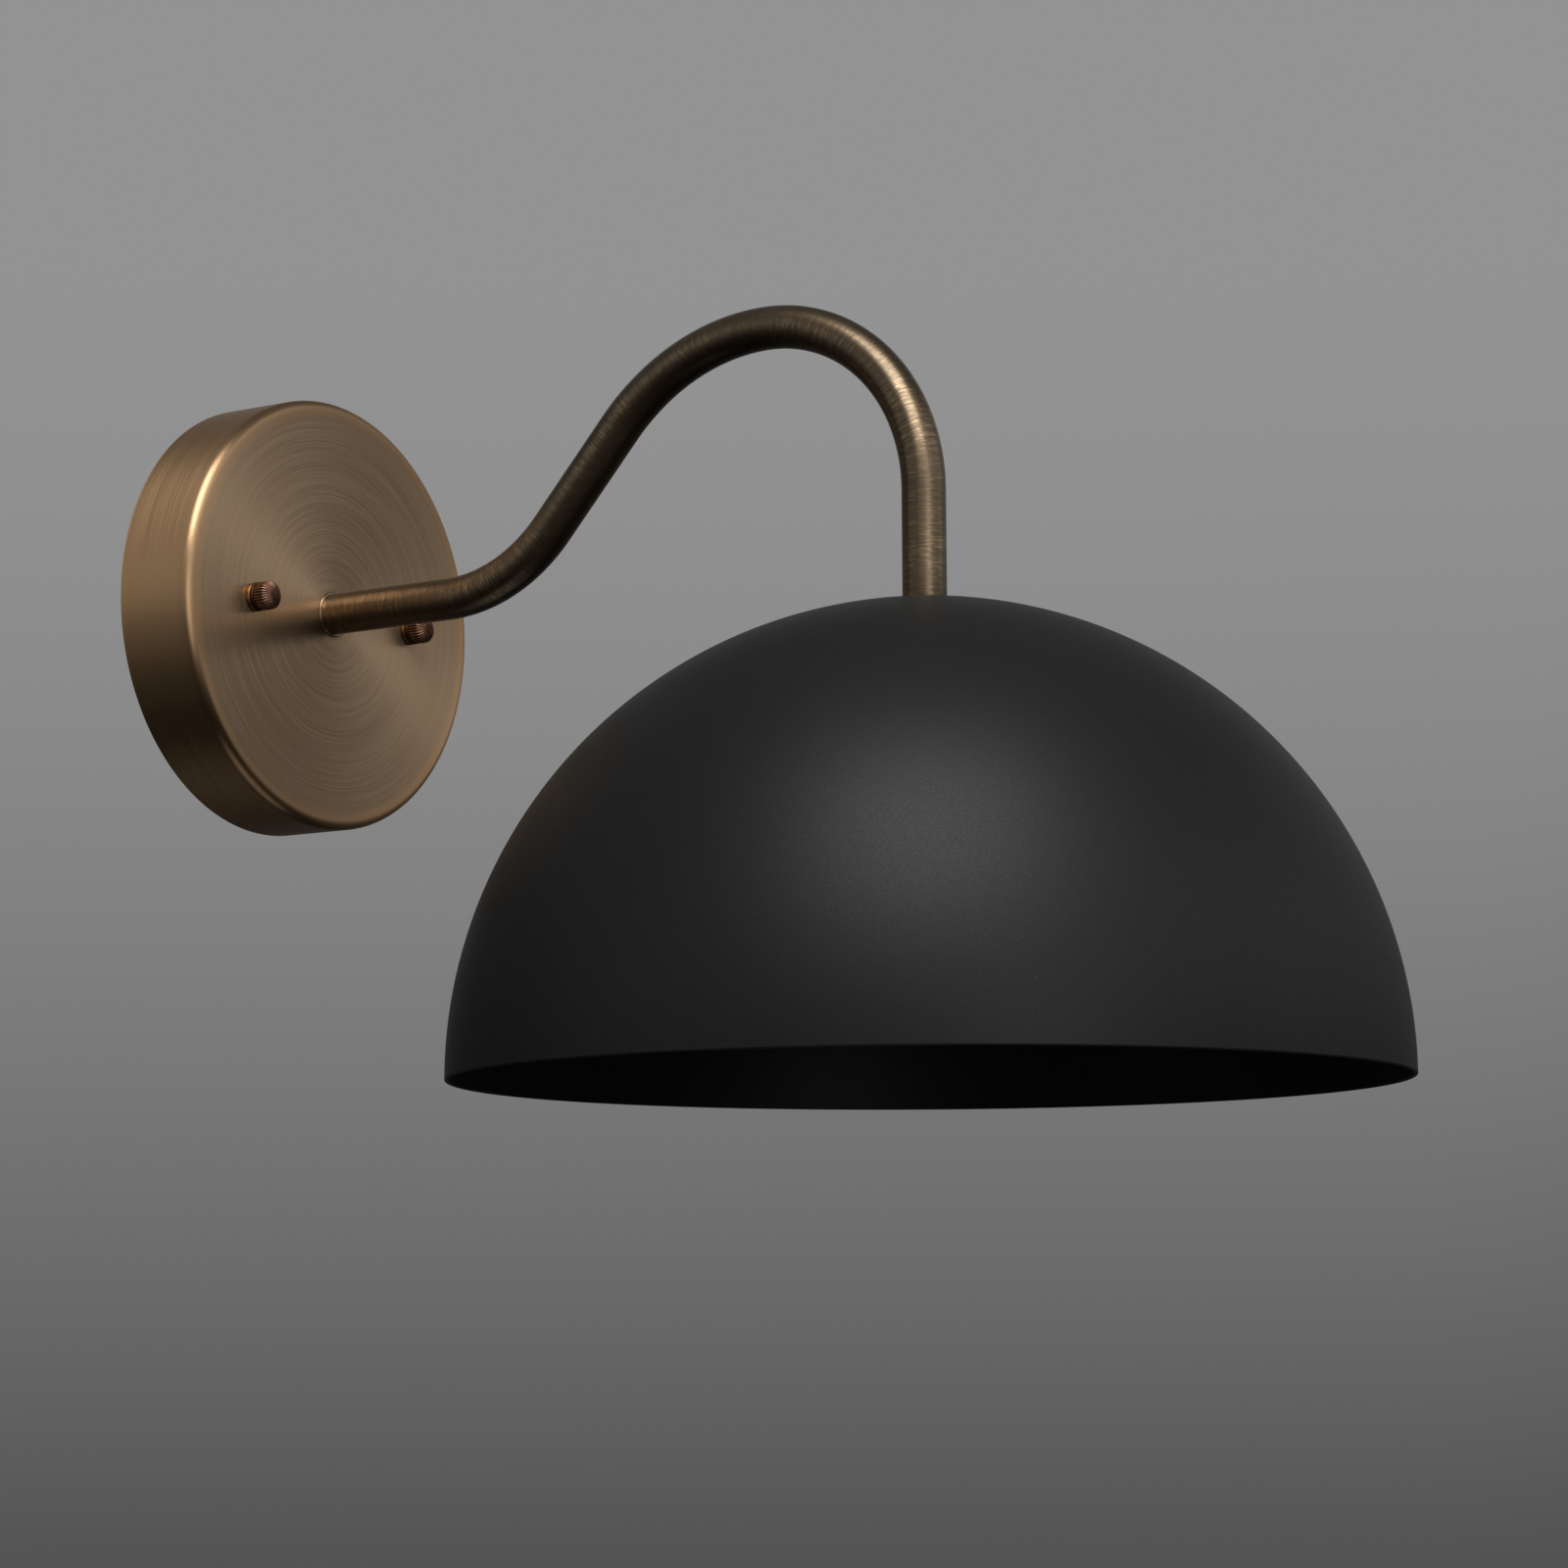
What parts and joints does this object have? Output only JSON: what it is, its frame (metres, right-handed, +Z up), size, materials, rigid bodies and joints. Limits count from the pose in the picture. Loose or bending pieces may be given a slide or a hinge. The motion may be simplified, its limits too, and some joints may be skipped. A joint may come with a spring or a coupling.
{
  "type": "wall sconce",
  "caption": "Wall light with a round canopy, a swan-neck tube arm and a hanging half-round dome shade that holds one screw-base bulb.",
  "frame": {"origin": "centre of the crossbar's back face, on the wall, midway between its two box-screw slots", "axes": "+Z up; +Y into the wall, so the sconce stands out towards -Y; X along the wall and along the crossbar"},
  "size_m": [0.254, 0.3575, 0.2158],
  "materials": {
    "antique_brass": "spun and brushed round its axis, lacquered",
    "dark_bronze": "brushed across the tube, oiled",
    "finial_bronze": "dark reddish bronze",
    "finial_brass": "plain brass",
    "black_powder": "matte powder coat",
    "zinc_steel": "zinc plated",
    "ground_green": "green plated screw",
    "bare_copper": "bare drawn wire",
    "bushing_plastic": "natural nylon",
    "black_phenolic": "moulded, satin",
    "white_ceramic": "glazed",
    "shell_brass": "bright drawn",
    "contact_bronze": "spring bronze",
    "nickel_cap": "nickel plated",
    "frosted_glass": "frosted inside",
    "black_glass": "fused glass",
    "solder": "tinned",
    "wire_black": "wire insulation",
    "wire_white": "wire insulation",
    "connector_plastic": "moulded twist-on cap"
  },
  "bodies": {
    "fixture": {"canopy": "antique_brass", "crossbar": "zinc_steel", "stud_left": "zinc_steel", "stud_right": "zinc_steel", "stud_lock_nuts": "zinc_steel", "ground_screw": "ground_green", "ground_wire": "bare_copper", "wall_nipple": "zinc_steel", "wall_bushing": "bushing_plastic", "arm_seat_ring": "antique_brass", "arm_tube": "dark_bronze", "shade_nipple": "zinc_steel", "lamp_bushing": "bushing_plastic", "shade": "black_powder", "socket_cap": "black_phenolic", "socket_sleeve": "black_phenolic", "socket_core": "white_ceramic", "screw_shell": "shell_brass", "contact_foot": "contact_bronze", "contact_rivet": "shell_brass", "terminal_plates": "shell_brass", "terminal_screws": "zinc_steel", "lead_hot": "wire_black", "lead_neutral": "wire_white", "wire_connectors": "connector_plastic", "canopy_washer": "zinc_steel", "canopy_lock_washer": "zinc_steel", "canopy_nut": "zinc_steel", "shade_washer": "zinc_steel", "shade_lock_washer": "zinc_steel", "shade_nut": "zinc_steel"},
    "finial_ring_left": {"finial_ring_left": "finial_brass"},
    "finial_left": {"finial_left": "finial_bronze"},
    "finial_ring_right": {"finial_ring_right": "finial_brass"},
    "finial_right": {"finial_right": "finial_bronze"},
    "bulb_lift": {"bulb_contact": "solder"},
    "bulb": {"bulb_glass": "frosted_glass", "bulb_cap": "nickel_cap", "bulb_insulator": "black_glass"},
    "contact": {"contact_leaf": "contact_bronze"}
  },
  "joints": [
    {"name": "finial_left_travel", "type": "slide", "parent": "fixture", "child": "finial_ring_left", "axis": [0, -1, 0], "range_m": [0, 0.00476]},
    {"name": "finial_left_turn", "type": "hinge", "parent": "finial_ring_left", "child": "finial_left", "pos_m": [-0.03492, -0.0268, 0], "axis": [0, -1, 0], "range_deg": [0, 2160]},
    {"name": "finial_right_travel", "type": "slide", "parent": "fixture", "child": "finial_ring_right", "axis": [0, -1, 0], "range_m": [0, 0.00476]},
    {"name": "finial_right_turn", "type": "hinge", "parent": "finial_ring_right", "child": "finial_right", "pos_m": [0.03492, -0.0268, 0], "axis": [0, -1, 0], "range_deg": [0, 2160]},
    {"name": "bulb_travel", "type": "slide", "parent": "fixture", "child": "bulb_lift", "axis": [0, 0, -1], "range_m": [0, 0.01815]},
    {"name": "bulb_turn", "type": "hinge", "parent": "bulb_lift", "child": "bulb", "pos_m": [0, -0.23054, -0.0763], "axis": [0, 0, -1], "range_deg": [0, 1800]},
    {"name": "contact_flex", "type": "hinge", "parent": "fixture", "child": "contact", "pos_m": [0, -0.22684, -0.04942], "axis": [-1, 0, 0], "range_deg": [0, 9], "stiffness_Nm_per_rad": 0.02}
  ],
  "couplings": [
    {"joint": "finial_left_turn", "follows": "finial_left_travel", "rad_per_m": 7913.3},
    {"joint": "finial_right_turn", "follows": "finial_right_travel", "rad_per_m": 7913.3},
    {"joint": "bulb_travel", "follows": "bulb_turn", "m_per_rad": 0.00057757}
  ]
}
